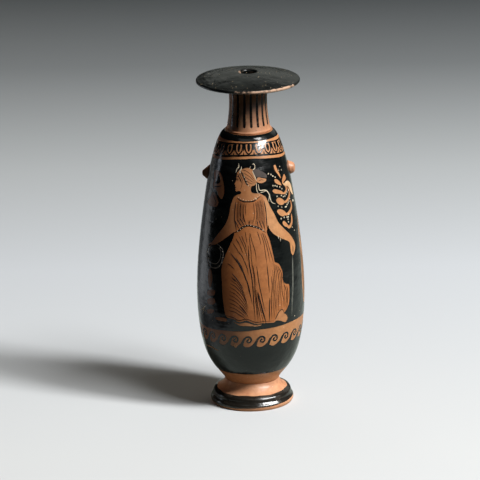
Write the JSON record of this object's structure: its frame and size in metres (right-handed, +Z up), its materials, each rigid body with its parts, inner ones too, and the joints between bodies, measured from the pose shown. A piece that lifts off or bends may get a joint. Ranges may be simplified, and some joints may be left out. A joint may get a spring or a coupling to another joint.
{
  "type": "footed oil flask",
  "caption": "Tall footed clay oil flask with a slim neck, a wide domed mouth disc, small side lugs and a painted draped figure between ornament bands.",
  "frame": {"origin": "on the ground under the middle of the foot's resting ring, on the flask's turning axis", "axes": "+Z up along the turning axis to the mouth, +X to the right lug, -Y to the painted front"},
  "size_m": [0.063, 0.063, 0.2],
  "materials": {
    "fired_clay": "matt burnished red-orange clay",
    "luting_slip": "matt fired slip",
    "black_gloss": "glossy fired black slip",
    "added_white": "matt pale clay paint"
  },
  "bodies": {
    "root": {"foot": "fired_clay", "foot_slip_joint": "luting_slip", "body": "fired_clay", "neck_slip_joint": "luting_slip", "neck": "fired_clay", "mouth_slip_joint": "luting_slip", "mouth_disc": "black_gloss", "left_lug": "fired_clay", "left_lug_slip_bed": "luting_slip", "right_lug": "fired_clay", "right_lug_slip_bed": "luting_slip"}
  },
  "joints": []
}
